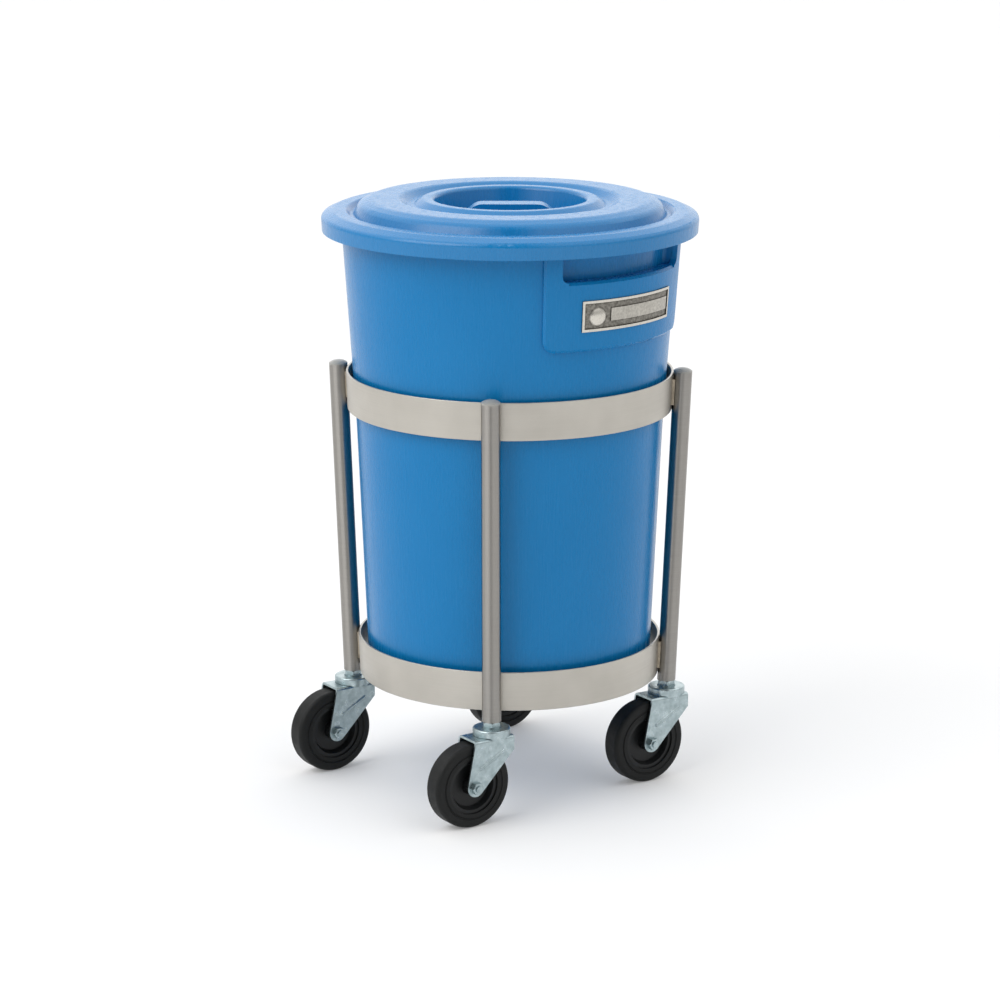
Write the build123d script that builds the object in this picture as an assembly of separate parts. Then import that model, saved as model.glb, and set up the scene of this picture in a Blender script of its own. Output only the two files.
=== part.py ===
from build123d import *
import os
from math import atan, cos, degrees, hypot, radians, sin, sqrt

# A round plastic bin with a lid, standing in a stainless tube cart on four swivel casters.
# Millimetres, Z up. The floor is Z = 0 and the origin is the middle of the whole footprint,
# which lies beside the bin's own axis because the casters all trail one way.
# Every piece is built round the bin's axis first and moved by footprint_shift() when it is written.

# Casters
WHEEL_RADIUS = 50.0
TREAD_WIDTH = 26.0
TREAD_SHOULDER = 5.0
CASTER_TRAIL = 33.0
CASTER_HEADING = 39.6
HUB_RIM_RADIUS = 33.0
HUB_BOSS_RADIUS = 11.0
HUB_WEB_THICKNESS = 9.0
HUB_RIM_WALL = 4.5
HUB_RIM_INSET = 2.0
HUB_BOSS_TAPER = 1.0
SLEEVE_RADIUS = 6.5
AXLE_RADIUS = 4.0
AXLE_HEAD_RADIUS = 7.5
AXLE_HEAD_HEIGHT = 4.0
AXLE_HEAD_ROUND = 2.8
AXLE_NUT_ACROSS = 13.0
AXLE_NUT_HEIGHT = 6.0
FORK_SHEET = 2.5
FORK_GAP = 31.0
FORK_BEND = 4.0
FORK_FRONT = 20.0
FORK_REAR = 33.0
FORK_LEAD_EDGE = 17.0
FORK_LOBE_RADIUS = 11.0
FORK_RIB_RADIUS = 3.0
FORK_RIB_HEIGHT = 1.4
FORK_RIB_START = 5.0
FORK_RIB_END = 26.4
FORK_OVER_WHEEL = 3.0
RACE_RADIUS = 15.0
RACE_DISH_RADIUS = 20.0
BALL_RADIUS = 2.4
BALL_COUNT = 10
BALL_SEAT_DEPTH = 1.4
RACE_RISE = 3.0
CUP_WALL = 2.0
STEM_RADIUS = 6.0
STEM_LENGTH_IN_SOCKET = 30.0
RIVET_RADIUS = 9.0
RIVET_HEIGHT = 3.0
RIVET_ROUND = 2.4
STEM_TIP_BEVEL = 1.0
STEM_WASHER_RADIUS = 11.0
STEM_WASHER_THICKNESS = 1.5
STEM_NUT_ACROSS = 19.0
STEM_NUT_HEIGHT = 5.5

# Cart
TUBE_RADIUS = 11.1
TUBE_WALL = 1.5
CRADLE_CLEARANCE = 7.8
UPRIGHT_SLOPE = 0.039
UPRIGHT_HEIGHT = 378.0
SOCKET_FLANGE = 2.0
SOCKET_LENGTH = 36.0
CAP_RIM = 2.0
CAP_DOME = 3.5
CAP_PLUG_LENGTH = 14.0
HOOP_THICKNESS = 3.0
HOOP_EDGE_ROUND = 0.8
UPPER_HOOP_BELOW_TOP = 1.2
UPPER_HOOP_HEIGHT = 45.0
LOWER_HOOP_ABOVE_FOOT = 6.8
LOWER_HOOP_HEIGHT = 47.0
BASE_BAR_WIDTH = 30.0
BASE_BAR_THICKNESS = 4.0
WELD_GAP = 0.1
WELD_ROOT = 3.5
WELD_REACH = 7.5
WELD_THROAT = 2.8
WELD_END_MARGIN = 7.0

# Bin
BIN_WALL = 3.0
BIN_HEIGHT = 554.7
BIN_FOOT_RADIUS = 169.5
BIN_FOOT_RING_WIDTH = 19.5
BIN_FOOT_RING_HEIGHT = 8.0
BIN_FOOT_ROUND = 9.0
BIN_LOWER_SLOPE = 0.0435
BIN_UPPER_SLOPE = 0.07
BIN_KNEE_HEIGHT = 316.0
BIN_KNEE_ROUND = 400.0
BIN_FOOT_DRAFT = 2.0
RIM_WIDTH = 5.0
RIM_SKIRT = 9.0
RIM_ROUND = 1.0

# Lid, with its rings counted inwards from the rim that it fits
LID_SHEET = 3.0
LID_OVERHANG = 17.645
LID_LIP_LEAN = 1.0
LID_LIP_DEPTH = 24.0
LID_EDGE_DROP = 6.0
LID_EDGE_WIDTH = 13.6
LID_PLUG_GAP = 0.455
LID_GROOVE_INSET = 7.0
LID_GROOVE_WIDTH = 4.0
LID_GROOVE_DEPTH = 5.5
LID_SHOULDER_INSET = 8.5
LID_SHOULDER_DROP = 5.0
LID_CREST_INSET = 13.0
LID_CREST_RISE = 13.0
LID_CREST_WIDTH = 34.0
LID_RING_GAP = 28.0
LID_RING_GROOVE_WIDTH = 8.0
LID_RING_GROOVE_DEPTH = 7.0
LID_RING_WIDTH = 13.0
LID_RECESS_DEPTH = 34.0
LID_RECESS_DRAFT = 6.0
LID_BAR_WIDTH = 26.0
LID_BAR_THICKNESS = 9.0
LID_BAR_BELOW_CREST = 6.0
LID_BAR_FLAT = 60.0
LID_BAR_BEND = 20.0
LID_BAR_HEADING = 6.0

# Grips on the bin's sides
GRIP_DIRECTION = -39.0
GRIP_HALF_ANGLE = 34.0
GRIP_LEDGE_BELOW_RIM = 51.7
GRIP_HEIGHT = 81.0
GRIP_PROUD = 6.0
GRIP_EDGE_BEVEL = 3.0
GRIP_CORNER_ROUND = 14.0
POCKET_HEIGHT = 26.0
POCKET_DEPTH = 12.0
POCKET_HALF_ANGLE = 28.0
POCKET_ROUND = 6.0

# Nameplate
PLATE_LENGTH = 145.0
PLATE_HEIGHT = 36.0
PLATE_ABOVE_GRIP_BOTTOM = 23.0
PLATE_THICKNESS = 2.0
PLATE_SEAT_DEPTH = 1.6
PLATE_BORDER = 3.0
PLATE_BORDER_RISE = 1.2
PLATE_BOSS_RADIUS = 11.0
PLATE_BOSS_RISE = 3.0
PLATE_BOSS_INSET = 20.0
PLATE_BAR_HEIGHT = 15.0
PLATE_BAR_INSET = 38.0
PLATE_BAR_RISE = 0.8

# Clearances
SEAT_GAP = 0.3
SLIP_FIT = 0.05
RUNNING_FIT = 0.08

# Heights and places that follow from the sizes above
FORK_UNDERSIDE = 2 * WHEEL_RADIUS + FORK_OVER_WHEEL
FORK_TOP = FORK_UNDERSIDE + FORK_SHEET
FORK_WIDTH = FORK_GAP + 2 * FORK_SHEET
RACE_TOP = FORK_TOP + RACE_RISE
BALL_CENTRE_Z = RACE_TOP - BALL_SEAT_DEPTH + BALL_RADIUS
CUP_CEILING = BALL_CENTRE_Z + BALL_RADIUS + SEAT_GAP
CUP_TOP = CUP_CEILING + CUP_WALL
CUP_INNER_RADIUS = RACE_DISH_RADIUS + SEAT_GAP
CUP_OUTER_RADIUS = CUP_INNER_RADIUS + CUP_WALL
WASHER_TOP = CUP_TOP + STEM_WASHER_THICKNESS
NUT_TOP = WASHER_TOP + STEM_NUT_HEIGHT
UPRIGHT_BOTTOM = NUT_TOP + SOCKET_FLANGE
UPRIGHT_LEAN = degrees(atan(UPRIGHT_SLOPE))
UPRIGHT_FOOT_CIRCLE = BIN_FOOT_RADIUS + CRADLE_CLEARANCE + HOOP_THICKNESS + WELD_GAP + TUBE_RADIUS
TUBE_BORE = TUBE_RADIUS - TUBE_WALL
LOWER_HOOP_BOTTOM = UPRIGHT_BOTTOM + LOWER_HOOP_ABOVE_FOOT
UPPER_HOOP_BOTTOM = UPRIGHT_BOTTOM + UPRIGHT_HEIGHT - UPPER_HOOP_BELOW_TOP - UPPER_HOOP_HEIGHT
BIN_BOTTOM = LOWER_HOOP_BOTTOM + BASE_BAR_THICKNESS
BIN_FOOT_RING_INNER = BIN_FOOT_RADIUS - BIN_FOOT_RING_WIDTH
BIN_KNEE_Z = BIN_BOTTOM + BIN_KNEE_HEIGHT
RIM_TOP = BIN_BOTTOM + BIN_HEIGHT
LID_FLANGE_Z = RIM_TOP + SEAT_GAP + LID_SHEET
LID_CREST_Z = LID_FLANGE_Z + LID_CREST_RISE
LID_RECESS_Z = LID_CREST_Z - LID_RECESS_DEPTH
GRIP_LEDGE_Z = RIM_TOP - GRIP_LEDGE_BELOW_RIM
GRIP_BOTTOM_Z = GRIP_LEDGE_Z - GRIP_HEIGHT
PLATE_BOTTOM_Z = GRIP_BOTTOM_Z + PLATE_ABOVE_GRIP_BOTTOM

# The four corners of the cart, by the angle of each from the +X axis
CORNERS = {"front": -90.0, "right": 0.0, "back": 90.0, "left": 180.0}


def upright_centre_radius(z):
    """Distance from the bin's axis to the middle of a leaning upright at height z."""
    return UPRIGHT_FOOT_CIRCLE + (z - UPRIGHT_BOTTOM) * UPRIGHT_SLOPE


def hoop_outer_radius(z):
    """Outer radius of the hoops, which lie against the inside of the uprights."""
    return upright_centre_radius(z) - (TUBE_RADIUS + WELD_GAP) / cos(radians(UPRIGHT_LEAN))


def bin_outer_radius(z):
    """Outer radius of the bin's wall, which flares more above its knee."""
    if z <= BIN_KNEE_Z:
        return BIN_FOOT_RADIUS + (z - BIN_BOTTOM) * BIN_LOWER_SLOPE
    knee_radius = BIN_FOOT_RADIUS + (BIN_KNEE_Z - BIN_BOTTOM) * BIN_LOWER_SLOPE
    return knee_radius + (z - BIN_KNEE_Z) * BIN_UPPER_SLOPE


def lid_radius():
    """Radius of the lid's turned-down edge, which stands out beyond the bin's rim."""
    return bin_outer_radius(RIM_TOP) + RIM_WIDTH + LID_OVERHANG


def lid_recess_radius():
    """Radius of the lid's central recess, reached by counting its rings inwards from the rim."""
    crest_inset = LID_GROOVE_INSET + LID_SHOULDER_INSET + LID_CREST_INSET
    return lid_flange_inner() - crest_inset - LID_CREST_WIDTH - LID_RING_GAP - LID_RING_WIDTH


def lid_flange_inner():
    """Radius at which the lid's flange turns down inside the bin's mouth."""
    return bin_outer_radius(RIM_TOP) - BIN_WALL - LID_SHEET - LID_PLUG_GAP


def wheel_reach(along, across):
    """How far a trailing wheel stands out from the bin's axis, from its heading's two shares."""
    flat_radius = WHEEL_RADIUS - TREAD_SHOULDER
    flat_half_width = TREAD_WIDTH / 2 - TREAD_SHOULDER
    trail = (CASTER_TRAIL + flat_radius) * along
    return UPRIGHT_FOOT_CIRCLE + trail + flat_half_width * across + TREAD_SHOULDER


def footprint_shift():
    """Where the bin's axis stands when the whole footprint is centred on the origin."""
    roll_x = cos(radians(CASTER_HEADING))
    roll_y = sin(radians(CASTER_HEADING))
    shift_x = (wheel_reach(roll_x, roll_y) - lid_radius()) / 2
    shift_y = (wheel_reach(roll_y, roll_x) - lid_radius()) / 2
    return Pos(shift_x, shift_y, 0)


def turned(face, arc=360.0, middle=0.0):
    """Turn a section drawn in the XZ plane round the Z axis, centred on one direction."""
    solid = revolve(face, axis=Axis.Z, revolution_arc=arc)
    return Rot(0, 0, middle - arc / 2) * solid if arc < 360.0 else solid


def section(*points):
    """A closed section in the XZ plane from its radius and height pairs."""
    return Plane.XZ * make_face(Polyline(*points, close=True))


def sheet_section(corners, thickness):
    """A closed section of one thickness on the left of a skin line, with rounded bends.

    corners lists the skin's corners, each as its radius, its height and its bend radius.
    """
    points = [Vector(radius, height) for radius, height, bend in corners]
    bends = [bend for radius, height, bend in corners]
    runs = [(after - before).normalized() for before, after in zip(points, points[1:])]
    back, back_bends = [], []
    for i, point in enumerate(points):
        before = runs[max(i - 1, 0)]
        after = runs[min(i, len(runs) - 1)]
        left = Vector(-before.Y - after.Y, before.X + after.X)
        reach = 2 * thickness / left.length
        back.append(point + left.normalized() * reach)
        turns_left = before.X * after.Y - before.Y * after.X > 0
        back_bend = bends[i] - thickness if turns_left else bends[i] + thickness
        back_bends.append(max(back_bend, 0) if bends[i] else 0)
    outline = FilletPolyline(*points, *reversed(back), radius=[*bends, *reversed(back_bends)], close=True)
    return Plane.XZ * make_face(outline)


def disc(radius, bottom, top):
    """A plain upright cylinder between two heights."""
    return Pos(0, 0, bottom) * extrude(Circle(radius), top - bottom)


# Cart

def hoop(bottom, height):
    """One flat band, rolled to the same cone as the leaning uprights."""
    top = bottom + height
    band = turned(section(
        (hoop_outer_radius(bottom) - HOOP_THICKNESS, bottom),
        (hoop_outer_radius(bottom), bottom),
        (hoop_outer_radius(top), top),
        (hoop_outer_radius(top) - HOOP_THICKNESS, top),
    ))
    return fillet(band.edges().filter_by(GeomType.CIRCLE), HOOP_EDGE_ROUND)


def upright_place(angle):
    """Frame of one upright: its Z runs up the leaning tube and its X points outwards."""
    return Rot(0, 0, angle) * Pos(UPRIGHT_FOOT_CIRCLE, 0, UPRIGHT_BOTTOM) * Rot(0, UPRIGHT_LEAN, 0)


def below_upright():
    """The space under the uprights' level foot, used to trim what leans."""
    side = 4 * UPRIGHT_FOOT_CIRCLE
    return Pos(0, 0, UPRIGHT_BOTTOM - SOCKET_LENGTH / 2) * Box(side, side, SOCKET_LENGTH)


def upright(angle):
    """A leaning tube, cut square at its top and level at its foot."""
    foot_allowance = 2 * TUBE_RADIUS * UPRIGHT_SLOPE
    ring = Circle(TUBE_RADIUS) - Circle(TUBE_BORE)
    tube = Pos(0, 0, -foot_allowance) * extrude(ring, UPRIGHT_HEIGHT + foot_allowance)
    return upright_place(angle) * tube - below_upright()


def upright_cap(angle):
    """A domed end plug pushed into the top of an upright."""
    dome_radius = (TUBE_RADIUS ** 2 + CAP_DOME ** 2) / (2 * CAP_DOME)
    dome_base = UPRIGHT_HEIGHT + CAP_RIM
    head = disc(TUBE_RADIUS, UPRIGHT_HEIGHT, dome_base)
    ball = Pos(0, 0, dome_base + CAP_DOME - dome_radius) * Sphere(dome_radius)
    dome = ball & disc(TUBE_RADIUS, dome_base, dome_base + CAP_DOME)
    plug = disc(TUBE_BORE - SLIP_FIT, UPRIGHT_HEIGHT - CAP_PLUG_LENGTH, UPRIGHT_HEIGHT)
    return upright_place(angle) * (head + dome + plug)


def stem_socket(angle):
    """The threaded insert in an upright's foot, with a level flange under the tube."""
    foot_allowance = 2 * TUBE_RADIUS * UPRIGHT_SLOPE
    insert = upright_place(angle) * disc(TUBE_BORE - SLIP_FIT, -foot_allowance, SOCKET_LENGTH)
    flange = Rot(0, 0, angle) * Pos(UPRIGHT_FOOT_CIRCLE, 0, 0) * disc(TUBE_RADIUS, NUT_TOP, UPRIGHT_BOTTOM)
    bore = Rot(0, 0, angle) * Pos(UPRIGHT_FOOT_CIRCLE, 0, 0) * disc(
        STEM_RADIUS + SLIP_FIT, NUT_TOP, UPRIGHT_BOTTOM + 2 * SOCKET_LENGTH)
    return insert - below_upright() + flange - bore


def weld_beads(angle, band, bottom, height):
    """The two weld beads that fill the corners between one tube and one hoop."""
    middle = bottom + height / 2
    width = WELD_REACH - WELD_ROOT
    tube = upright_place(angle) * disc(TUBE_RADIUS, -UPRIGHT_HEIGHT, UPRIGHT_HEIGHT)
    beads = []
    for side in (-1, 1):
        bead = Box(2 * WELD_THROAT, width, height - 2 * WELD_END_MARGIN)
        place = Pos(hoop_outer_radius(middle), side * (WELD_ROOT + width / 2), middle)
        rough = Rot(0, 0, angle) * place * Rot(0, UPRIGHT_LEAN, 0) * bead
        beads.extend((rough - band - tube).solids())
    return beads


def base_bars():
    """One long flat bar and two half bars across it, filling the foot of the lower hoop."""
    middle = LOWER_HOOP_BOTTOM + BASE_BAR_THICKNESS / 2
    bottom, top = LOWER_HOOP_BOTTOM, LOWER_HOOP_BOTTOM + BASE_BAR_THICKNESS
    inside = turned(section(
        (0, bottom),
        (hoop_outer_radius(bottom) - HOOP_THICKNESS, bottom),
        (hoop_outer_radius(top) - HOOP_THICKNESS, top),
        (0, top),
    ))
    span = 2 * UPRIGHT_FOOT_CIRCLE
    long_bar = Pos(0, 0, middle) * Box(span, BASE_BAR_WIDTH, BASE_BAR_THICKNESS) & inside
    cross_bar = Pos(0, 0, middle) * Box(BASE_BAR_WIDTH, span, BASE_BAR_THICKNESS) & inside
    return long_bar, cross_bar - long_bar


# Casters, each built at its own swivel axis with the wheel trailing towards -X

def wheel_place():
    """Frame of the wheel, with its Z along the axle."""
    return Pos(-CASTER_TRAIL, 0, WHEEL_RADIUS) * Rot(90, 0, 0)


def fork():
    """A pressed zinc-plated yoke with a round ball race on its top."""
    leg_top = FORK_TOP - FORK_LEAD_EDGE / 2
    plate_length = FORK_FRONT + FORK_REAR
    plate_outline = Pos((FORK_FRONT - FORK_REAR) / 2, leg_top) * Rectangle(plate_length, FORK_LEAD_EDGE)
    lobe_outline = Pos(-CASTER_TRAIL, WHEEL_RADIUS) * Circle(FORK_LOBE_RADIUS)
    outline = make_hull(plate_outline.edges() + lobe_outline.edges())
    blank = extrude(Plane.XZ * outline, FORK_WIDTH / 2, both=True)
    bends = blank.edges().filter_by(Axis.X).group_by(Axis.Z)[-1]
    blank = fillet(bends, FORK_BEND)
    room = Pos(0, 0, FORK_UNDERSIDE / 2) * Box(4 * WHEEL_RADIUS, FORK_GAP, FORK_UNDERSIDE)
    room = fillet(room.edges().filter_by(Axis.X).group_by(Axis.Z)[-1], FORK_BEND - FORK_SHEET)
    yoke = blank - room
    for side in (-1, 1):
        yoke += fork_rib(side)
    dish = disc(RACE_DISH_RADIUS, FORK_UNDERSIDE, RACE_TOP)
    pin_hole = disc(STEM_RADIUS + RUNNING_FIT, FORK_UNDERSIDE, RACE_TOP)
    groove = Pos(0, 0, BALL_CENTRE_Z) * Torus(RACE_RADIUS, BALL_RADIUS + RUNNING_FIT)
    axle_hole = wheel_place() * Cylinder(AXLE_RADIUS + SLIP_FIT, 2 * FORK_WIDTH)
    return yoke + dish - pin_hole - groove - axle_hole


def fork_rib(side):
    """The stiffening rib pressed outwards along one leg of the fork."""
    start = Vector(FORK_RIB_START, 0, FORK_TOP - FORK_LEAD_EDGE)
    end = Vector(-FORK_RIB_END, 0, WHEEL_RADIUS + 2 * FORK_LOBE_RADIUS)
    rib = Solid.make_cylinder(FORK_RIB_RADIUS, (end - start).length, Plane(start, z_dir=end - start))
    rounded = rib + Pos(*start) * Sphere(FORK_RIB_RADIUS) + Pos(*end) * Sphere(FORK_RIB_RADIUS)
    placed = Pos(0, side * (FORK_WIDTH / 2 + FORK_RIB_HEIGHT - FORK_RIB_RADIUS), 0) * rounded
    outside = Pos(0, side * FORK_WIDTH, FORK_TOP / 2) * Box(4 * WHEEL_RADIUS, FORK_WIDTH, FORK_TOP)
    return placed & outside


def swivel_balls():
    """The ring of loose balls between the fork's race and the fixed cup."""
    places = PolarLocations(RACE_RADIUS, BALL_COUNT)
    balls = [Pos(0, 0, BALL_CENTRE_Z) * place * Sphere(BALL_RADIUS) for place in places]
    return Compound(children=[ball.solid() for ball in balls])


def raceway_cup():
    """The inverted pressed cup that carries the load down on to the balls."""
    skirt_bottom = FORK_TOP + SEAT_GAP
    cup = disc(CUP_OUTER_RADIUS, skirt_bottom, CUP_TOP)
    cup = fillet(cup.edges().group_by(Axis.Z)[-1], CUP_WALL)
    inside = disc(CUP_INNER_RADIUS, skirt_bottom, CUP_CEILING)
    return cup - inside - disc(STEM_RADIUS + SLIP_FIT, skirt_bottom, CUP_TOP)


def caster_stem():
    """The stem that is screwed into the upright and riveted over under the fork."""
    rivet_top = FORK_UNDERSIDE - SEAT_GAP
    shank = disc(STEM_RADIUS, rivet_top, UPRIGHT_BOTTOM + STEM_LENGTH_IN_SOCKET)
    shank = chamfer(shank.edges().group_by(Axis.Z)[-1], STEM_TIP_BEVEL)
    head = disc(RIVET_RADIUS, rivet_top - RIVET_HEIGHT, rivet_top)
    head = fillet(head.edges().group_by(Axis.Z)[0], RIVET_ROUND)
    return shank + head


def stem_washer():
    """The spring washer between the cup and its nut."""
    return disc(STEM_WASHER_RADIUS, CUP_TOP, WASHER_TOP) - disc(STEM_RADIUS + SLIP_FIT, CUP_TOP, WASHER_TOP)


def hexagon_nut(across, bore, height):
    """A hexagon nut standing on Z = 0, with its corners turned off on the top."""
    corner_radius = across / sqrt(3)
    nut = extrude(RegularPolygon(corner_radius, 6), height)
    turned_blank = disc(corner_radius, 0, height)
    turned_blank = chamfer(turned_blank.edges().group_by(Axis.Z)[-1], corner_radius - across / 2)
    return (nut & turned_blank) - disc(bore, 0, height)


def axle_place(side):
    """Frame on the outer face of one fork leg, with its Z along the axle and outwards."""
    return Pos(-CASTER_TRAIL, side * FORK_WIDTH / 2, WHEEL_RADIUS) * Rot(-side * 90, 0, 0)


def axle_bolt():
    """The round-headed bolt through the fork, the sleeve and the wheel."""
    shank_length = FORK_WIDTH + AXLE_NUT_HEIGHT + AXLE_RADIUS / 2
    head = disc(AXLE_HEAD_RADIUS, 0, AXLE_HEAD_HEIGHT)
    head = fillet(head.edges().group_by(Axis.Z)[-1], AXLE_HEAD_ROUND)
    shank = disc(AXLE_RADIUS, -shank_length, 0)
    return axle_place(1) * (head + shank)


def axle_nut():
    """The lock nut on the inner end of the axle bolt."""
    return axle_place(-1) * hexagon_nut(AXLE_NUT_ACROSS, AXLE_RADIUS + SLIP_FIT, AXLE_NUT_HEIGHT)


def axle_sleeve():
    """The steel sleeve clamped between the fork legs, on which the hub turns."""
    ring = Circle(SLEEVE_RADIUS) - Circle(AXLE_RADIUS + SLIP_FIT)
    return wheel_place() * extrude(ring, FORK_GAP / 2, both=True)


def wheel_hub():
    """The moulded wheel centre: a boss, a thin dished web and a rim."""
    boss_half = FORK_GAP / 2 - SEAT_GAP
    rim_half = TREAD_WIDTH / 2 - HUB_RIM_INSET
    web_half = HUB_WEB_THICKNESS / 2
    rim_inner = HUB_RIM_RADIUS - HUB_RIM_WALL
    bore = SLEEVE_RADIUS + RUNNING_FIT
    dish = (rim_half - web_half) / 2
    upper = [
        (bore, boss_half),
        (HUB_BOSS_RADIUS - HUB_BOSS_TAPER, boss_half),
        (HUB_BOSS_RADIUS, web_half),
        (rim_inner - dish, web_half),
        (rim_inner, rim_half),
        (HUB_RIM_RADIUS, rim_half),
    ]
    lower = [(radius, -height) for radius, height in reversed(upper)]
    return wheel_place() * turned(section(*upper, *lower))


def tyre():
    """The solid rubber tyre, with round shoulders and a shallow ring groove in each side."""
    half = TREAD_WIDTH / 2
    blank = Pos(0, 0, -half) * extrude(Circle(WHEEL_RADIUS) - Circle(HUB_RIM_RADIUS + SLIP_FIT), TREAD_WIDTH)
    outer_edges = blank.edges().filter_by(GeomType.CIRCLE).sort_by(SortBy.RADIUS)[-2:]
    blank = fillet(outer_edges, TREAD_SHOULDER)
    groove_radius = (HUB_RIM_RADIUS + WHEEL_RADIUS - TREAD_SHOULDER) / 2
    for side in (-1, 1):
        blank -= Pos(0, 0, side * half) * Torus(groove_radius, TREAD_SHOULDER / 4)
    return wheel_place() * blank


# Bin

def bin_shell():
    """The bare tapered shell, with a raised floor in a foot ring and a turned-over rim."""
    rim_underside = RIM_TOP - BIN_WALL
    rim_root = bin_outer_radius(rim_underside)
    floor_underside = BIN_BOTTOM + BIN_FOOT_RING_HEIGHT
    return turned(sheet_section([
        (0, floor_underside, 0),
        (BIN_FOOT_RING_INNER, floor_underside, BIN_WALL),
        (BIN_FOOT_RING_INNER + BIN_FOOT_DRAFT, BIN_BOTTOM, 0),
        (BIN_FOOT_RADIUS, BIN_BOTTOM, BIN_FOOT_ROUND),
        (bin_outer_radius(BIN_KNEE_Z), BIN_KNEE_Z, BIN_KNEE_ROUND),
        (rim_root, rim_underside, 0),
        (rim_root + RIM_WIDTH, rim_underside, RIM_ROUND),
        (rim_root + RIM_WIDTH, rim_underside - RIM_SKIRT, 0),
    ], BIN_WALL))


def grip_face_radius(z):
    """Radius of the raised grip panel's outer face."""
    return bin_outer_radius(z) + GRIP_PROUD


def grip_pad(direction):
    """The raised grip panel, with a ledge on top, bevelled edges and round lower corners."""
    root = GRIP_PROUD + BIN_WALL / 2
    pad = turned(section(
        (grip_face_radius(GRIP_BOTTOM_Z) - root, GRIP_BOTTOM_Z),
        (grip_face_radius(GRIP_BOTTOM_Z), GRIP_BOTTOM_Z),
        (grip_face_radius(GRIP_LEDGE_Z), GRIP_LEDGE_Z),
        (grip_face_radius(GRIP_LEDGE_Z) - root, GRIP_LEDGE_Z),
    ), 2 * GRIP_HALF_ANGLE, direction)
    lower_corners = pad.edges().filter_by(GeomType.LINE).group_by(Axis.Z)[0]
    pad = fillet(lower_corners, GRIP_CORNER_ROUND)
    face = pad.faces().sort_by(lambda side: side.area)[-1]
    return chamfer(face.edges(), GRIP_EDGE_BEVEL)


def pocket_section(depth, height, low):
    """Section of the finger pocket above a grip's ledge, or of the wall behind it."""
    top = low + height
    return Plane.XZ * make_face(Polyline(
        (bin_outer_radius(low) - depth, low),
        (bin_outer_radius(low) + 2 * GRIP_PROUD, low),
        (bin_outer_radius(top) + 2 * GRIP_PROUD, top),
        (bin_outer_radius(top) - depth, top),
        close=True,
    ))


def finger_pocket(direction):
    """The space above a grip's ledge, where the fingers go in under the rim."""
    outline = pocket_section(POCKET_DEPTH, POCKET_HEIGHT, GRIP_LEDGE_Z)
    room = turned(outline, 2 * POCKET_HALF_ANGLE, direction)
    deep_edges = room.edges().filter_by(GeomType.LINE).group_by(
        lambda edge: round(hypot(edge.center().X, edge.center().Y), 3))[0]
    return fillet(deep_edges, POCKET_ROUND)


def pocket_backing(direction):
    """The wall that bulges into the bin behind a finger pocket."""
    wall_angle = degrees(BIN_WALL / bin_outer_radius(GRIP_LEDGE_Z))
    block = turned(
        pocket_section(POCKET_DEPTH + BIN_WALL, POCKET_HEIGHT + 2 * BIN_WALL, GRIP_LEDGE_Z - BIN_WALL),
        2 * (POCKET_HALF_ANGLE + wall_angle), direction)
    inside = turned(section(
        (0, BIN_KNEE_Z),
        (bin_outer_radius(BIN_KNEE_Z) - BIN_WALL / 2, BIN_KNEE_Z),
        (bin_outer_radius(LID_FLANGE_Z) - BIN_WALL / 2, LID_FLANGE_Z),
        (0, LID_FLANGE_Z),
    ))
    return block & inside


def bin_body():
    """The moulded bin with its two opposite grips and the shallow seat of the nameplate."""
    body = bin_shell()
    for direction in (GRIP_DIRECTION, GRIP_DIRECTION + 180):
        body += grip_pad(direction)
        body += pocket_backing(direction)
        body -= finger_pocket(direction)
    seat_length = PLATE_LENGTH + 2 * SLIP_FIT
    seat_height = PLATE_HEIGHT + 2 * SLIP_FIT
    return body - plate_sector(seat_length, seat_height, -PLATE_SEAT_DEPTH, GRIP_PROUD)


# Nameplate, bare except for a plain round boss and a plain bar

def plate_angle(length):
    """The angle that a length takes up round the grip panel's face."""
    return degrees(length / grip_face_radius(PLATE_BOTTOM_Z + PLATE_HEIGHT / 2))


def plate_sector(length, height, inner, outer, middle_offset=0.0):
    """A curved slab on the grip panel, from inner to outer off the panel's face."""
    low = PLATE_BOTTOM_Z + (PLATE_HEIGHT - height) / 2
    top = low + height
    return turned(section(
        (grip_face_radius(low) + inner, low),
        (grip_face_radius(low) + outer, low),
        (grip_face_radius(top) + outer, top),
        (grip_face_radius(top) + inner, top),
    ), plate_angle(length), GRIP_DIRECTION + plate_angle(middle_offset))


def nameplate():
    """The curved metal plate: a raised border, a domed boss at one end and a blank bar."""
    back = -PLATE_SEAT_DEPTH
    front = back + PLATE_THICKNESS
    field_length = PLATE_LENGTH - 2 * PLATE_BORDER
    field_height = PLATE_HEIGHT - 2 * PLATE_BORDER
    plate = plate_sector(PLATE_LENGTH, PLATE_HEIGHT, back, front + PLATE_BORDER_RISE)
    plate -= plate_sector(field_length, field_height, front, front + 2 * PLATE_BORDER_RISE)
    bar_end = PLATE_LENGTH / 2 - 2 * PLATE_BORDER
    bar_start = PLATE_BAR_INSET - PLATE_LENGTH / 2
    plate += plate_sector(bar_end - bar_start, PLATE_BAR_HEIGHT, front, front + PLATE_BAR_RISE,
                          (bar_start + bar_end) / 2)
    middle_z = PLATE_BOTTOM_Z + PLATE_HEIGHT / 2
    ball_radius = (PLATE_BOSS_RADIUS ** 2 + PLATE_BOSS_RISE ** 2) / (2 * PLATE_BOSS_RISE)
    boss_angle = GRIP_DIRECTION + plate_angle(PLATE_BOSS_INSET - PLATE_LENGTH / 2)
    ball_centre = grip_face_radius(middle_z) + front + PLATE_BOSS_RISE - ball_radius
    ball = Rot(0, 0, boss_angle) * Pos(ball_centre, 0, middle_z) * Sphere(ball_radius)
    return plate + (ball & plate_sector(PLATE_LENGTH, PLATE_HEIGHT, front, front + 2 * PLATE_BOSS_RISE))


# Lid

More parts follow.
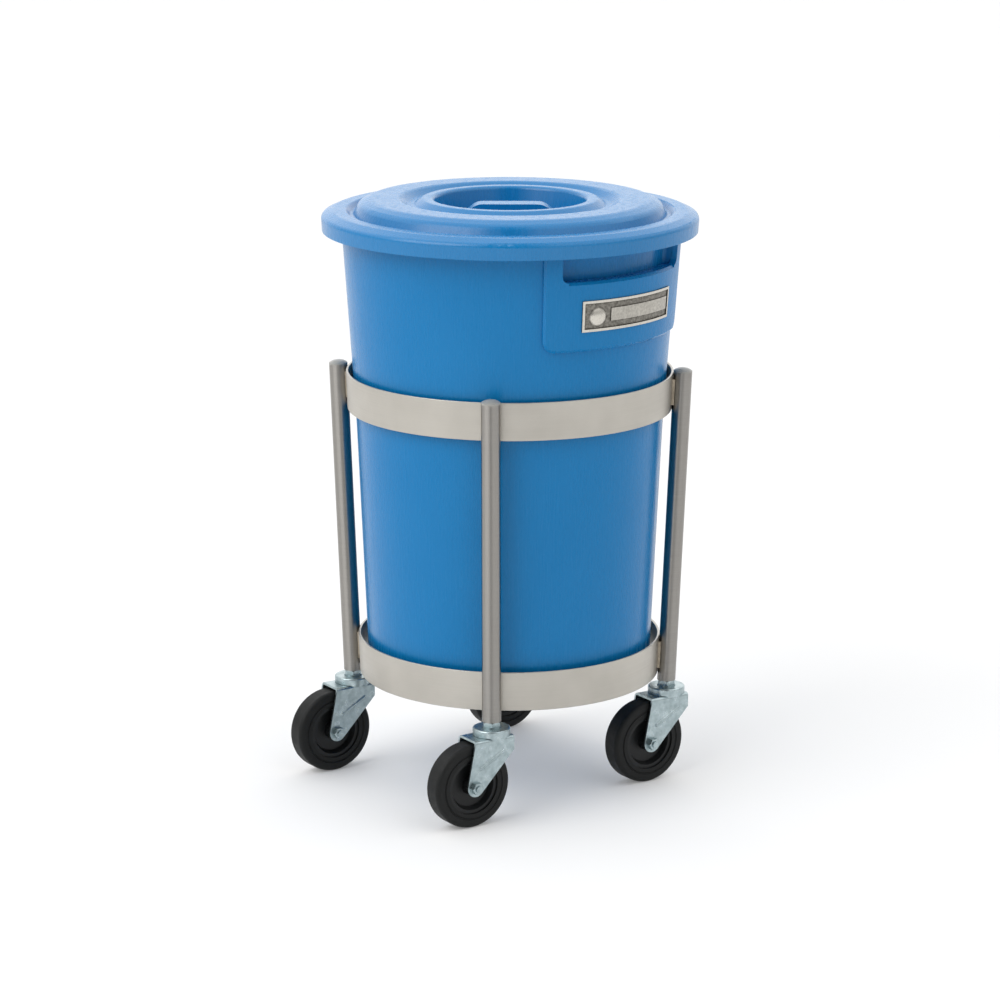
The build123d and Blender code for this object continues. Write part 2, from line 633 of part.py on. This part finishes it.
def lid_shell():
    """The lid's turned form: lip, flange, groove, broad raised ring, inner ring and recess."""
    edge = lid_radius()
    groove_radius = lid_flange_inner() - LID_GROOVE_INSET
    groove_z = LID_FLANGE_Z - LID_GROOVE_DEPTH
    shoulder_radius = groove_radius - LID_SHOULDER_INSET
    crest_outer = shoulder_radius - LID_CREST_INSET
    crest_inner = crest_outer - LID_CREST_WIDTH
    ring_groove_radius = crest_inner - LID_RING_GAP / 2
    ring_groove_z = LID_CREST_Z - LID_RING_GROOVE_DEPTH
    ring_outer = crest_inner - LID_RING_GAP
    recess_radius = lid_recess_radius()
    return turned(sheet_section([
        (edge - LID_LIP_LEAN, LID_FLANGE_Z - LID_LIP_DEPTH, 0),
        (edge, LID_FLANGE_Z - LID_EDGE_DROP, 6),
        (edge - LID_EDGE_WIDTH, LID_FLANGE_Z, 7),
        (lid_flange_inner(), LID_FLANGE_Z, 3),
        (groove_radius + LID_GROOVE_WIDTH / 2, groove_z, 1.5),
        (groove_radius - LID_GROOVE_WIDTH / 2, groove_z, 1.5),
        (shoulder_radius, LID_CREST_Z - LID_SHOULDER_DROP, 10),
        (crest_outer, LID_CREST_Z, 14),
        (crest_inner, LID_CREST_Z, 10),
        (ring_groove_radius + LID_RING_GROOVE_WIDTH / 2, ring_groove_z, 2),
        (ring_groove_radius - LID_RING_GROOVE_WIDTH / 2, ring_groove_z, 2),
        (ring_outer, LID_CREST_Z, 5),
        (recess_radius, LID_CREST_Z, 5),
        (recess_radius - LID_RECESS_DRAFT, LID_RECESS_Z, 4),
        (0, LID_RECESS_Z, 0),
    ], LID_SHEET))


def lid_bar():
    """The grip bar that bridges the lid's central recess, arched down at both ends."""
    bar_top = LID_CREST_Z - LID_BAR_BELOW_CREST
    bar_foot = LID_RECESS_Z - LID_SHEET / 2
    half_flat = LID_BAR_FLAT / 2 + LID_BAR_THICKNESS
    half_span = lid_recess_radius() - 2 * LID_RECESS_DRAFT
    strap = extrude(sheet_section([
        (half_span, bar_foot, 0),
        (half_flat, bar_top, LID_BAR_BEND),
        (-half_flat, bar_top, LID_BAR_BEND),
        (-half_span, bar_foot, 0),
    ], LID_BAR_THICKNESS), LID_BAR_WIDTH / 2, both=True)
    strap &= disc(lid_recess_radius(), bar_foot, LID_CREST_Z)
    return Rot(0, 0, LID_BAR_HEADING) * strap


def lid():
    """The moulded lid with its grip bar."""
    return lid_shell() + lid_bar()


# Assembly

def cart_pieces():
    """Everything fixed to the tube cart."""
    upper_hoop = hoop(UPPER_HOOP_BOTTOM, UPPER_HOOP_HEIGHT)
    lower_hoop = hoop(LOWER_HOOP_BOTTOM, LOWER_HOOP_HEIGHT)
    long_bar, half_bars = base_bars()
    welds = []
    for angle in CORNERS.values():
        welds += weld_beads(angle, upper_hoop, UPPER_HOOP_BOTTOM, UPPER_HOOP_HEIGHT)
        welds += weld_beads(angle, lower_hoop, LOWER_HOOP_BOTTOM, LOWER_HOOP_HEIGHT)
    pieces = {
        "upper_hoop": upper_hoop,
        "lower_hoop": lower_hoop,
        "base_bar_long": long_bar,
        "base_bar_halves": half_bars,
        "hoop_welds": Compound(children=welds),
    }
    for corner, angle in CORNERS.items():
        pieces[f"upright_{corner}"] = upright(angle)
        pieces[f"upright_cap_{corner}"] = upright_cap(angle)
        pieces[f"stem_socket_{corner}"] = stem_socket(angle)
    return pieces


def caster_place(angle):
    """Frame of one caster, on its upright's foot and turned to the common heading."""
    return Rot(0, 0, angle) * Pos(UPRIGHT_FOOT_CIRCLE, 0, 0) * Rot(0, 0, CASTER_HEADING - angle)


def caster_pieces():
    """The four casters, and their like fasteners gathered in one group each."""
    nut = Pos(0, 0, WASHER_TOP) * hexagon_nut(STEM_NUT_ACROSS, STEM_RADIUS + SLIP_FIT, STEM_NUT_HEIGHT)
    like_fasteners = {"stem_washers": stem_washer(), "stem_nuts": nut}
    each = {
        "caster_stem": caster_stem(),
        "raceway_cup": raceway_cup(),
        "swivel_balls": swivel_balls(),
        "caster_fork": fork(),
        "axle_sleeve": axle_sleeve(),
        "axle_bolt": axle_bolt(),
        "axle_nut": axle_nut(),
        "wheel_hub": wheel_hub(),
        "wheel_tyre": tyre(),
    }
    pieces = {}
    for name, shape in like_fasteners.items():
        copies = [(caster_place(angle) * shape).solid() for angle in CORNERS.values()]
        pieces[name] = Compound(children=copies)
    for corner, angle in CORNERS.items():
        for name, shape in each.items():
            pieces[f"{name}_{corner}"] = caster_place(angle) * shape
    return pieces


def all_pieces():
    """Every node of the object by name, in the object's own frame."""
    pieces = {**cart_pieces(), **caster_pieces()}
    pieces["bin_body"] = bin_body()
    pieces["nameplate"] = nameplate()
    pieces["lid"] = lid()
    shift = footprint_shift()
    return {name: shift * shape for name, shape in pieces.items()}


def main():
    os.makedirs("parts", exist_ok=True)
    for name, shape in all_pieces().items():
        export_step(shape, f"parts/{name}.step")


if __name__ == "__main__":
    main()
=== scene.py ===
from math import cos, pi, radians, sin
import bmesh
import bpy
from mathutils import Matrix, Vector


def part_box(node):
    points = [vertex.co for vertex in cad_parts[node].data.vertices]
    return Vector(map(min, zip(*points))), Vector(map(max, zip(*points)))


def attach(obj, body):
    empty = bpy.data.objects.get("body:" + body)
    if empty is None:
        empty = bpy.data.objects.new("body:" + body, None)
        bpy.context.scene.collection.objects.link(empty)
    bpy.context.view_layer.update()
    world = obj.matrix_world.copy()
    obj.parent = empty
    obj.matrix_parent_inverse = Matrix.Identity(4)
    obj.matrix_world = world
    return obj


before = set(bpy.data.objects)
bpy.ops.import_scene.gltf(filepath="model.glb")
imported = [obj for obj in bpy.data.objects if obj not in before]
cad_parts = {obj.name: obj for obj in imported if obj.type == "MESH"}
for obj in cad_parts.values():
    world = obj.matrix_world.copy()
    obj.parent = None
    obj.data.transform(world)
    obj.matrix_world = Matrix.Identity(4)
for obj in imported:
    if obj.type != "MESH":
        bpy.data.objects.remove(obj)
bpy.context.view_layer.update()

# Camera
# The photo was taken from slightly above the lid with a long lens. The camera is placed from
# the bin's own axis, which is read from the round lid.
lid_low, lid_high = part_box("lid")
AXIS = Vector(((lid_low[0] + lid_high[0]) / 2, (lid_low[1] + lid_high[1]) / 2, 0))
CAMERA_DISTANCE = 4.040
CAMERA_HEIGHT = 1.334
CAMERA_SIDE_ANGLE = radians(6.0)
CAMERA_PITCH = radians(13.84)
CAMERA_YAW = radians(-0.16)
CAMERA_ROLL = radians(-0.11)
FOCAL_PIXELS = 3464.0
FRAME_PIXELS = 1000
SENSOR_WIDTH = 36.0

camera_data = bpy.data.cameras.new("photo_camera")
camera_data.sensor_width = SENSOR_WIDTH
camera_data.lens = SENSOR_WIDTH * FOCAL_PIXELS / FRAME_PIXELS
camera_data.clip_end = 50.0
camera = bpy.data.objects.new("photo_camera", camera_data)
bpy.context.scene.collection.objects.link(camera)
camera.location = AXIS + Vector((
    CAMERA_DISTANCE * sin(CAMERA_SIDE_ANGLE), -CAMERA_DISTANCE * cos(CAMERA_SIDE_ANGLE), CAMERA_HEIGHT))
turn_to_view = Matrix.Rotation(CAMERA_SIDE_ANGLE - CAMERA_YAW, 3, "Z")
tilt_down = Matrix.Rotation(pi / 2 - CAMERA_PITCH, 3, "X")
lean = Matrix.Rotation(-CAMERA_ROLL, 3, "Z")
camera.rotation_euler = (turn_to_view @ tilt_down @ lean).to_euler()
bpy.context.scene.camera = camera

# Bin and lid
# Both are injection moulded in blue polyethylene. The skin is glossy with a faint orange peel,
# slow waves from the moulding, and a few fine upright scuffs from being lifted in and out.


def linear(hex_colour):
    """An sRGB hex colour as the linear values that shaders take."""
    channels = [int(hex_colour[i:i + 2], 16) / 255 for i in (1, 3, 5)]
    return (*[c / 12.92 if c <= 0.04045 else ((c + 0.055) / 1.055) ** 2.4 for c in channels], 1.0)


def add_node(tree, kind, inputs=(), **settings):
    """Add a shader node, set its settings, and set or link each of its inputs."""
    node = tree.nodes.new(kind)
    for name, value in settings.items():
        setattr(node, name, value)
    for name, value in dict(inputs).items():
        socket = node.inputs[name]
        if isinstance(value, bpy.types.NodeSocket):
            tree.links.new(value, socket)
        else:
            socket.default_value = value
    return node


def new_finish(name, **surface):
    """A material with one principled shader, whose even values are set on its own sockets."""
    finish = bpy.data.materials.new(name)
    finish.use_nodes = True
    tree = finish.node_tree
    tree.nodes.clear()
    shader = add_node(tree, "ShaderNodeBsdfPrincipled")
    output = add_node(tree, "ShaderNodeOutputMaterial", {"Surface": shader.outputs["BSDF"]})
    output.location = (600, 0)
    for socket, value in surface.items():
        shader.inputs[socket.replace("_", " ")].default_value = value
    return finish, tree, shader


def place_from(tree, centre, scale):
    """Object coordinates in metres, measured from a centre and multiplied by a scale for each axis."""
    coordinates = add_node(tree, "ShaderNodeTexCoord").outputs["Object"]
    offset = add_node(tree, "ShaderNodeVectorMath", {0: coordinates, 1: centre}, operation="SUBTRACT")
    scaled = add_node(tree, "ShaderNodeVectorMath", {0: offset.outputs[0], 1: scale}, operation="MULTIPLY")
    return scaled.outputs[0]


def cloud(tree, place, per_metre, detail=3.0, roughness=0.5):
    """Soft noise with a given number of blotches to the metre."""
    return add_node(tree, "ShaderNodeTexNoise", {
        "Vector": place, "Scale": per_metre, "Detail": detail, "Roughness": roughness}).outputs["Fac"]


def spread(tree, value, low, high, start=0.3, end=0.7):
    """Map a pattern's middle range on to the range from low to high."""
    return add_node(tree, "ShaderNodeMapRange", {
        "Value": value, "From Min": start, "From Max": end, "To Min": low, "To Max": high}).outputs["Result"]


def blend_colours(tree, share, first, second):
    """Mix two colours by a pattern."""
    mix = add_node(tree, "ShaderNodeMix", {0: share, 6: first, 7: second}, data_type="RGBA")
    return mix.outputs[2]


def raise_surface(tree, shader, height, depth_mm, under=None):
    """Turn a pattern into relief of a real depth."""
    bump = add_node(tree, "ShaderNodeBump", {"Height": height, "Strength": 1.0, "Distance": depth_mm / 1000})
    if under is not None:
        tree.links.new(under, bump.inputs["Normal"])
    tree.links.new(bump.outputs["Normal"], shader.inputs["Normal"])
    return bump.outputs["Normal"]


def give(finish, *nodes):
    """Put one finish on CAD nodes, in every slot they have."""
    for name in nodes:
        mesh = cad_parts[name].data
        if not mesh.materials:
            mesh.materials.append(finish)
        for i in range(len(mesh.materials)):
            mesh.materials[i] = finish


MOULDED_BLUE = "#0A74B0"
MOULDED_BLUE_PALE = "#187AB6"
ORANGE_PEEL_MM = 4.0
MOULDING_WAVE_MM = 90.0
SCUFF_SPACING_MM = 5.0
SCUFF_LENGTH_MM = 130.0


def moulded_blue(name, gloss):
    """Blue polyethylene, whose gloss is lower where the wall is scuffed by handling."""
    finish, tree, shader = new_finish(name, IOR=1.51, Specular_IOR_Level=gloss)
    place = place_from(tree, AXIS, (1.0, 1.0, 1.0))
    waves = cloud(tree, place, 1000 / MOULDING_WAVE_MM, detail=2.0)
    peel = cloud(tree, place, 1000 / ORANGE_PEEL_MM, detail=1.0)
    scuffs_per_metre = (1000 / SCUFF_SPACING_MM, 1000 / SCUFF_SPACING_MM, 1000 / SCUFF_LENGTH_MM)
    scuffs = cloud(tree, place_from(tree, AXIS, scuffs_per_metre), 1.0, detail=4.0, roughness=0.6)
    pale_share = spread(tree, waves, 0.0, 0.35)
    tint = blend_colours(tree, pale_share, linear(MOULDED_BLUE), linear(MOULDED_BLUE_PALE))
    tree.links.new(tint, shader.inputs["Base Color"])
    tree.links.new(spread(tree, scuffs, 0.24, 0.38, 0.45, 0.72), shader.inputs["Roughness"])
    slow = raise_surface(tree, shader, waves, 0.7)
    raise_surface(tree, shader, peel, 0.005, slow)
    return finish


bin_blue = moulded_blue("moulded_blue_bin", 0.22)
give(bin_blue, "bin_body")
give(moulded_blue("moulded_blue_lid", 0.5), "lid")

# Grip ends
# Moulded in one with the bin. At each end of a grip the raised panel runs on up to the rim and
# closes the side of the finger pocket, with a round corner where it meets the ledge.
GRIP_DIRECTIONS = (radians(-39), radians(141))
POCKET_END = radians(28)
PANEL_END = radians(34)
PANEL_PROUD = 0.006
PANEL_BEVEL = 0.003
POST_ROOT = 0.0015
LEDGE_HEIGHT = 0.637
POST_TOP = 0.6765
WALL_RADIUS_AT_LEDGE = 0.19634
WALL_FLARE = 0.07
POCKET_CORNER = 0.008
CORNER_STEPS = 6
BEND_STEPS = 4


def grip_end(name, direction, side):
    """One end of a grip: a flat blank with a bevelled edge, bent round the bin."""
    face_radius = WALL_RADIUS_AT_LEDGE + PANEL_PROUD
    inner = POCKET_END * face_radius
    outer = PANEL_END * face_radius
    foot = LEDGE_HEIGHT - PANEL_BEVEL
    outline = [(outer, foot), (outer, POST_TOP), (inner, POST_TOP)]
    for step in range(CORNER_STEPS + 1):
        turn = step / CORNER_STEPS * pi / 2
        across = inner - POCKET_CORNER * (1 - cos(turn))
        outline.append((across, LEDGE_HEIGHT + POCKET_CORNER * (1 - sin(turn))))
    outline.append((inner - POCKET_CORNER, foot))
    blank = bmesh.new()
    corners = [blank.verts.new((across, -POST_ROOT, height)) for across, height in outline]
    flat = blank.faces.new(corners)
    grown = bmesh.ops.extrude_face_region(blank, geom=[flat])["geom"]
    front_corners = [part for part in grown if isinstance(part, bmesh.types.BMVert)]
    bmesh.ops.translate(blank, verts=front_corners, vec=(0, POST_ROOT + PANEL_PROUD, 0))
    end_edges = [edge for edge in blank.edges
                 if all(abs(v.co.x - outer) < 1e-6 and v.co.y > 0 for v in edge.verts)]
    bmesh.ops.bevel(
        blank, geom=end_edges, offset=PANEL_BEVEL, affect="EDGES", segments=1, profile=0.5, material=-1)
    for step in range(1, BEND_STEPS):
        cut_at = inner + (outer - PANEL_BEVEL - inner) * step / BEND_STEPS
        everything = blank.verts[:] + blank.edges[:] + blank.faces[:]
        bmesh.ops.bisect_plane(blank, geom=everything, plane_co=(cut_at, 0, 0), plane_no=(1, 0, 0))
    for vertex in blank.verts:
        across, proud, height = vertex.co
        radius = WALL_RADIUS_AT_LEDGE + (height - LEDGE_HEIGHT) * WALL_FLARE + proud
        angle = direction + side * across / face_radius
        vertex.co = AXIS + Vector((radius * cos(angle), radius * sin(angle), height))
    bmesh.ops.recalc_face_normals(blank, faces=blank.faces)
    mesh = bpy.data.meshes.new(name)
    blank.to_mesh(mesh)
    blank.free()
    mesh.materials.append(bin_blue)
    piece = bpy.data.objects.new(name, mesh)
    bpy.context.scene.collection.objects.link(piece)
    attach(piece, "bin")


for grip, direction in zip(("right", "left"), GRIP_DIRECTIONS):
    for end, side in (("near", -1), ("far", 1)):
        grip_end(f"grip_{grip}_{end}_end", direction, side)

# Hoops, base bars and welds
# Flat bands of stainless steel, rolled to the cone of the uprights and welded to them. The
# satin finish is brushed along the band, so its fine lines run round the bin.
BRUSH_LINE_MM = 0.9
BRUSH_LENGTH_MM = 160.0
HOOP_RADIUS_MM = 188.0


def calculate(tree, operation, first, second):
    """One sum on two numbers or patterns."""
    return add_node(tree, "ShaderNodeMath", {0: first, 1: second}, operation=operation).outputs[0]


def brushed_round(tree, centre, line_mm, length_mm, radius_mm):
    """Fine lines that run round a centre, from an angle and a height."""
    place = place_from(tree, centre, (1.0, 1.0, 1.0))
    parts = add_node(tree, "ShaderNodeSeparateXYZ", {"Vector": place})
    angle = calculate(tree, "ARCTAN2", parts.outputs["X"], parts.outputs["Y"])
    along = calculate(tree, "MULTIPLY", angle, radius_mm / length_mm)
    across = calculate(tree, "MULTIPLY", parts.outputs["Z"], 1000 / line_mm)
    flat = add_node(tree, "ShaderNodeCombineXYZ", {"X": along, "Y": across})
    return cloud(tree, flat.outputs[0], 1.0, detail=3.0, roughness=0.6)


brushed_stainless, tree, shader = new_finish("brushed_stainless_steel", Metallic=1.0, Roughness=0.4)
lines = brushed_round(tree, AXIS, BRUSH_LINE_MM, BRUSH_LENGTH_MM, HOOP_RADIUS_MM)
patches = cloud(tree, place_from(tree, AXIS, (1.0, 1.0, 1.0)), 14.0)
shade = blend_colours(tree, spread(tree, patches, 0.0, 1.0), linear("#C2BEB6"), linear("#B6B2AA"))
tree.links.new(shade, shader.inputs["Base Color"])
tree.links.new(spread(tree, lines, 0.34, 0.50), shader.inputs["Roughness"])
raise_surface(tree, shader, lines, 0.010)
give(brushed_stainless, "upper_hoop", "lower_hoop", "base_bar_long", "base_bar_halves")

welded_steel, tree, shader = new_finish("brushed_off_weld", Metallic=1.0, Roughness=0.45)
place = place_from(tree, AXIS, (1.0, 1.0, 1.0))
heat = spread(tree, cloud(tree, place, 120.0), 0.0, 1.0)
tree.links.new(blend_colours(tree, heat, linear("#B9AE9C"), linear("#8F8678")), shader.inputs["Base Color"])
raise_surface(tree, shader, cloud(tree, place, 600.0), 0.15)
give(welded_steel, "hoop_welds")

# Uprights
# Welded stainless tube, belt-polished round its girth. The fine lines draw each reflection out
# along the tube, so it shows as long upright bands. Each end has a grey plug.
POLISH_LINE_MM = 0.8
POLISH_LENGTH_MM = 30.0
CORNERS = ("front", "right", "back", "left")

polished_tube, tree, shader = new_finish(
    "polished_stainless_tube", Metallic=1.0, Roughness=0.36, Anisotropic=0.95)
lines_per_metre = (1000 / POLISH_LENGTH_MM, 1000 / POLISH_LENGTH_MM, 1000 / POLISH_LINE_MM)
lines = cloud(tree, place_from(tree, AXIS, lines_per_metre), 1.0)
tree.links.new(blend_colours(tree, lines, linear("#A19E99"), linear("#979490")), shader.inputs["Base Color"])
tree.links.new(spread(tree, lines, 0.33, 0.39), shader.inputs["Roughness"])
up = add_node(tree, "ShaderNodeCombineXYZ", {"Z": 1.0})
tree.links.new(up.outputs[0], shader.inputs["Tangent"])
raise_surface(tree, shader, lines, 0.0006)
moulded_plug, tree, shader = new_finish("moulded_grey_plug", IOR=1.5, Roughness=0.2)
grain = cloud(tree, place_from(tree, AXIS, (1.0, 1.0, 1.0)), 900.0)
tree.links.new(blend_colours(tree, grain, linear("#A3A29C"), linear("#92918C")), shader.inputs["Base Color"])
raise_surface(tree, shader, grain, 0.02)
for corner in CORNERS:
    give(polished_tube, f"upright_{corner}", f"stem_socket_{corner}")
    give(moulded_plug, f"upright_cap_{corner}")

# Nameplate
# A cast plate with a pewter look, curved with the grip. Grime has settled in its low field, and
# the raised border and boss are rubbed bright. Its inner corners are darkened with painted shade.
PLATE_FOOT_MM = 579.0
PLATE_FIELD_RADIUS_MM = 198.7
PLATE_LEAN = 0.0694
PLATE_BORDER_RISE_MM = 1.2
PAINTED_SHADE_REACH_MM = 3.0

cast_plate, tree, shader = new_finish("plated_casting", Metallic=1.0, Roughness=0.38)
place = place_from(tree, AXIS + Vector((0, 0, PLATE_FOOT_MM / 1000)), (1000.0, 1000.0, 1000.0))
level = add_node(tree, "ShaderNodeVectorMath", {0: place, 1: (1.0, 1.0, 0.0)}, operation="MULTIPLY")
out = add_node(tree, "ShaderNodeVectorMath", {0: level.outputs[0]}, operation="LENGTH").outputs["Value"]
up_plate = add_node(tree, "ShaderNodeSeparateXYZ", {"Vector": place}).outputs["Z"]
field_radius = calculate(tree, "MULTIPLY_ADD", up_plate, PLATE_LEAN)
field_radius.node.inputs[2].default_value = PLATE_FIELD_RADIUS_MM
rise = calculate(tree, "SUBTRACT", out, field_radius)
# Painted shade: an occlusion reading darkens the plate in its corners and next to the border.
occlusion_for_painted_shade = add_node(tree, "ShaderNodeAmbientOcclusion", {"Distance": PAINTED_SHADE_REACH_MM / 1000}, samples=8)
painted_corner_shade = spread(tree, occlusion_for_painted_shade.outputs["AO"], 0.6, 0.0, 0.4, 0.95)
blotches = spread(tree, cloud(tree, place, 0.35, detail=4.0), -0.15, 0.15)
low_down = spread(tree, rise, 0.75, 0.0, 0.2 * PLATE_BORDER_RISE_MM, PLATE_BORDER_RISE_MM)
# The dark share adds grime in the low field, painted corner shade and random blotches.
grime_and_painted_shade = calculate(tree, "ADD", calculate(tree, "ADD", low_down, painted_corner_shade), blotches)
tree.links.new(blend_colours(tree, grime_and_painted_shade, linear("#CFCBC2"), linear("#4A4741")), shader.inputs["Base Color"])
tree.links.new(spread(tree, grime_and_painted_shade, 0.24, 0.5, 0.0, 1.0), shader.inputs["Roughness"])
raise_surface(tree, shader, cloud(tree, place, 1.2), 0.01)
give(cast_plate, "nameplate")

# Casters
# The forks and cups are pressed steel with bright zinc plating, which leaves a cool, slightly
# mottled skin. The balls are ground steel.
zinc_plate, tree, shader = new_finish("bright_zinc_plate", Metallic=1.0, Roughness=0.3)
place = place_from(tree, AXIS, (1.0, 1.0, 1.0))
mottle = cloud(tree, place, 150.0, detail=5.0)
tree.links.new(blend_colours(tree, spread(tree, mottle, 0.0, 1.0), linear("#B4C2C5"), linear("#98A7AA")),
               shader.inputs["Base Color"])
tree.links.new(spread(tree, mottle, 0.24, 0.40), shader.inputs["Roughness"])
raise_surface(tree, shader, cloud(tree, place, 700.0), 0.02)
ground_steel, tree, shader = new_finish("ground_ball_steel", Metallic=1.0, Roughness=0.1)
fine = cloud(tree, place_from(tree, AXIS, (1.0, 1.0, 1.0)), 2000.0)
tree.links.new(blend_colours(tree, fine, linear("#C8C9CB"), linear("#B9BABC")), shader.inputs["Base Color"])
for corner in CORNERS:
    give(zinc_plate, f"caster_fork_{corner}", f"raceway_cup_{corner}", f"caster_stem_{corner}",
         f"axle_bolt_{corner}", f"axle_nut_{corner}", f"axle_sleeve_{corner}")
    give(ground_steel, f"swivel_balls_{corner}")
give(zinc_plate, "stem_nuts", "stem_washers")

# Wheels
# Solid black rubber tyres on moulded black centres. The tread is scuffed grey by the floor and
# picks up dust; the centres are a little smoother.
worn_rubber, tree, shader = new_finish(
    "worn_black_rubber", IOR=1.52, Roughness=0.6, Specular_IOR_Level=0.3)
place = place_from(tree, AXIS, (1.0, 1.0, 1.0))
dust = cloud(tree, place, 90.0, detail=6.0, roughness=0.65)
dusty = spread(tree, dust, 0.0, 1.0, 0.45, 0.75)
tree.links.new(blend_colours(tree, dusty, linear("#090B0B"), linear("#141616")), shader.inputs["Base Color"])
tree.links.new(spread(tree, dust, 0.48, 0.7), shader.inputs["Roughness"])
raise_surface(tree, shader, cloud(tree, place, 900.0, detail=4.0), 0.06)
moulded_centre, tree, shader = new_finish(
    "moulded_black_centre", IOR=1.5, Roughness=0.42, Specular_IOR_Level=0.35)
place = place_from(tree, AXIS, (1.0, 1.0, 1.0))
skin = cloud(tree, place, 500.0)
tree.links.new(blend_colours(tree, skin, linear("#0B0D0E"), linear("#131516")), shader.inputs["Base Color"])
raise_surface(tree, shader, skin, 0.03)
for corner in CORNERS:
    give(worn_rubber, f"wheel_tyre_{corner}")
    give(moulded_centre, f"wheel_hub_{corner}")

# Studio
# A plain pale floor, lit a little from below like a light table, under a bright ceiling. The low
# surround is brightest behind the bin, which gives the lid its pale sheen. A narrow dark stretch
# behind the camera reaches up into the ceiling and shows in the tubes.
FLOOR_HALF = 20.0
FLOOR_OWN_GLOW = 0.15
BACK_GLOW = 1.4
SIDE_GLOW = 0.6
FRONT_GLOW = 0.03
CEILING_GLOW = 1.4
CEILING_STARTS = sin(radians(18))
CEILING_FULL = sin(radians(34))

floor_mesh = bpy.data.meshes.new("floor")
floor = bpy.data.objects.new("floor", floor_mesh)
bpy.context.scene.collection.objects.link(floor)
ground = bmesh.new()
bmesh.ops.create_grid(ground, x_segments=1, y_segments=1, size=FLOOR_HALF)
ground.to_mesh(floor_mesh)
ground.free()
white = (1.0, 1.0, 1.0, 1.0)
pale_floor, tree, shader = new_finish(
    "pale_floor", Base_Color=linear("#DDDDDD"), Roughness=0.9, Emission_Color=white,
    Emission_Strength=FLOOR_OWN_GLOW)
floor_mesh.materials.append(pale_floor)

world = bpy.data.worlds.new("pale_surround")
bpy.context.scene.world = world
world.use_nodes = True
sky = world.node_tree
background = sky.nodes["Background"]
ray = add_node(sky, "ShaderNodeTexCoord").outputs["Generated"]
flat_ray = add_node(sky, "ShaderNodeVectorMath", {0: ray, 1: (1.0, 1.0, 0.0)}, operation="MULTIPLY")
heading = add_node(sky, "ShaderNodeVectorMath", {0: flat_ray.outputs[0]}, operation="NORMALIZE").outputs[0]


def mix_glow(share, first, second):
    """Blend two strengths of glow."""
    return add_node(sky, "ShaderNodeMix", {0: share, 2: first, 3: second}).outputs[0]


to_camera = (sin(CAMERA_SIDE_ANGLE), -cos(CAMERA_SIDE_ANGLE), 0.0)
product = add_node(sky, "ShaderNodeVectorMath", {0: heading, 1: to_camera}, operation="DOT_PRODUCT")
frontness = product.outputs["Value"]
back_share = spread(sky, frontness, 1.0, 0.0, -cos(radians(20)), -cos(radians(60)))
height = add_node(sky, "ShaderNodeSeparateXYZ", {0: ray}).outputs["Z"]
ceiling_share = spread(sky, height, 0.0, 1.0, CEILING_STARTS, CEILING_FULL)
front_share = spread(sky, frontness, 0.0, 1.0, cos(radians(24)), cos(radians(12)))
low_glow = mix_glow(back_share, SIDE_GLOW, BACK_GLOW)
all_round = mix_glow(ceiling_share, low_glow, CEILING_GLOW)
background.inputs["Color"].default_value = white
sky.links.new(mix_glow(front_share, all_round, FRONT_GLOW), background.inputs["Strength"])


def soft_light(name, place, aim_height, size, watts):
    """A square soft light at a place from the bin's axis, pointing at a height on that axis."""
    data = bpy.data.lights.new(name, "AREA")
    data.shape = "SQUARE"
    data.size = size
    data.energy = watts
    light = bpy.data.objects.new(name, data)
    bpy.context.scene.collection.objects.link(light)
    light.location = AXIS + Vector(place)
    aim = AXIS + Vector((0, 0, aim_height)) - light.location
    light.rotation_euler = aim.to_track_quat("-Z", "Y").to_euler()


soft_light("left_soft_box", (-2.1, -1.9, 2.7), 0.45, 2.6, 48)

bpy.context.scene.view_settings.view_transform = "Standard"
